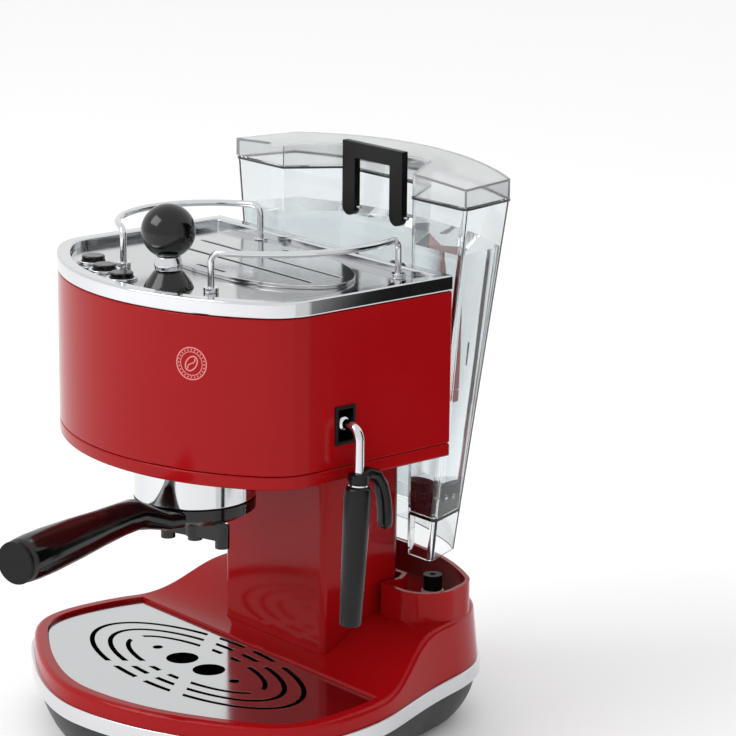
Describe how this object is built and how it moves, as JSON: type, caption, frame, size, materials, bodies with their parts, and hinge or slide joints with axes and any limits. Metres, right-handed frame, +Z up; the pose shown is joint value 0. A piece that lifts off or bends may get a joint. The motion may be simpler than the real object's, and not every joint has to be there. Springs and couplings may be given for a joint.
{
  "type": "espresso machine",
  "caption": "Red and chrome pump espresso machine with an oval base, a bowed head, a filter holder with a side-set handle, a steam wand, a rail-edged cup tray and a lift-out clear rear tank.",
  "frame": {"origin": "on the counter under the middle of the machine's overall width and depth", "axes": "+Z up, -Y to the front where the filter holder is, +X to the side with the steam wand"},
  "size_m": [0.2688, 0.3598, 0.355],
  "materials": {
    "red_shell": "gloss red moulded plastic",
    "chrome_trim": "polished chrome",
    "black_gloss": "gloss black plastic",
    "black_matt": "fine-grained black plastic",
    "grey_base": "dark grey plastic",
    "rubber": "matt black rubber",
    "steel": "brushed stainless steel",
    "clear_plastic": "clear moulded plastic",
    "boiler_metal": "cast aluminium",
    "brass_fitting": "machined brass",
    "coil_resin": "blue cast resin over laminated steel",
    "silicone": "translucent silicone tube",
    "lamp": "amber lens",
    "keys": "satin silver-painted plastic",
    "board": "green circuit board"
  },
  "bodies": {
    "machine": {"rubber_feet": "rubber", "base_pan": "grey_base", "cord_gland": "black_matt", "base_band": "chrome_trim", "base_housing": "red_shell", "column_shell": "red_shell", "column_cover": "black_matt", "head_shell": "red_shell", "head_skirt": "red_shell", "top_frame": "chrome_trim", "front_badge": "chrome_trim", "steam_recess": "black_matt", "chassis_plate": "steel", "group_ring": "chrome_trim", "boiler_lower": "boiler_metal", "boiler_upper": "boiler_metal", "group_gasket": "rubber", "shower_screen": "steel", "boiler_screws": "steel", "thermostats": "brass_fitting", "steam_valve": "brass_fitting", "knob_base": "black_matt", "cup_rails": "chrome_trim", "rail_collars": "chrome_trim", "top_deck": "steel", "cup_tray": "steel", "button_bezels": "chrome_trim", "indicator_lenses": "lamp", "control_board": "board", "tank_inlet": "black_matt", "inlet_seal": "rubber", "pump_coil": "coil_resin", "pump_body": "black_matt", "pump_mounts": "rubber", "supply_hose": "silicone", "pressure_hose": "silicone", "steam_pipe": "silicone"},
    "tank": {"tank_body": "clear_plastic", "tank_pins": "steel", "tank_filter": "black_matt", "valve_spring": "steel"},
    "lid": {"tank_lid": "clear_plastic"},
    "carrying_handle": {"tank_handle": "black_matt"},
    "outlet_valve": {"tank_valve": "black_matt"},
    "steam_knob": {"valve_spindle": "steel", "knob_collar": "chrome_trim", "knob_ball": "black_gloss"},
    "steam_wand": {"wand_tube": "chrome_trim", "wand_grip": "black_matt", "wand_fin": "black_matt"},
    "filter_holder": {"holder_body": "black_gloss", "filter_basket": "steel", "holder_handle": "black_gloss", "handle_cap": "black_gloss", "pour_spout": "black_gloss"},
    "tray": {"drip_tray": "black_matt"},
    "grille": {"drip_grille": "steel"},
    "power_key": {"power_button": "keys"},
    "coffee_key": {"coffee_button": "keys"},
    "steam_key": {"steam_button": "keys"}
  },
  "joints": [
    {"name": "tank_lift", "type": "slide", "parent": "machine", "child": "tank", "axis": [0, 0, 1], "range_m": [-0.035, 0.2]},
    {"name": "lid_hinge", "type": "hinge", "parent": "tank", "child": "lid", "pos_m": [0, 0.1763, 0.337], "axis": [-1, 0, 0], "range_deg": [0, 95]},
    {"name": "handle_fold", "type": "hinge", "parent": "tank", "child": "carrying_handle", "pos_m": [0, 0.13048, 0.314], "axis": [1, 0, 0], "range_deg": [0, 50]},
    {"name": "outlet_open", "type": "slide", "parent": "tank", "child": "outlet_valve", "axis": [0, 0, 1], "range_m": [0, 0.0025], "stiffness_N_per_m": 300, "springref_m": -0.002, "deforming": ["valve_spring"]},
    {"name": "steam_turn", "type": "hinge", "parent": "machine", "child": "steam_knob", "pos_m": [0.018, -0.0417, 0.3], "axis": [0, 0, 1], "range_deg": [0, 270]},
    {"name": "wand_swing", "type": "hinge", "parent": "machine", "child": "steam_wand", "pos_m": [0.109, 0.0143, 0.221], "axis": [0, -1, 0], "range_deg": [0, 35]},
    {"name": "holder_turn", "type": "hinge", "parent": "machine", "child": "filter_holder", "pos_m": [0, -0.0097, 0.157], "axis": [0, 0, 1], "range_deg": [-60, 0]},
    {"name": "tray_lift", "type": "slide", "parent": "machine", "child": "tray", "axis": [0, 0, 1], "range_m": [0, 0.045]},
    {"name": "grille_lift", "type": "slide", "parent": "tray", "child": "grille", "axis": [0, 0, 1], "range_m": [0, 0.02]},
    {"name": "power_press", "type": "slide", "parent": "machine", "child": "power_key", "axis": [0, 0, -1], "range_m": [0, 0.002], "stiffness_N_per_m": 400, "springref_m": -0.001},
    {"name": "coffee_press", "type": "slide", "parent": "machine", "child": "coffee_key", "axis": [0, 0, -1], "range_m": [0, 0.002], "stiffness_N_per_m": 400, "springref_m": -0.001},
    {"name": "steam_press", "type": "slide", "parent": "machine", "child": "steam_key", "axis": [0, 0, -1], "range_m": [0, 0.002], "stiffness_N_per_m": 400, "springref_m": -0.001}
  ]
}
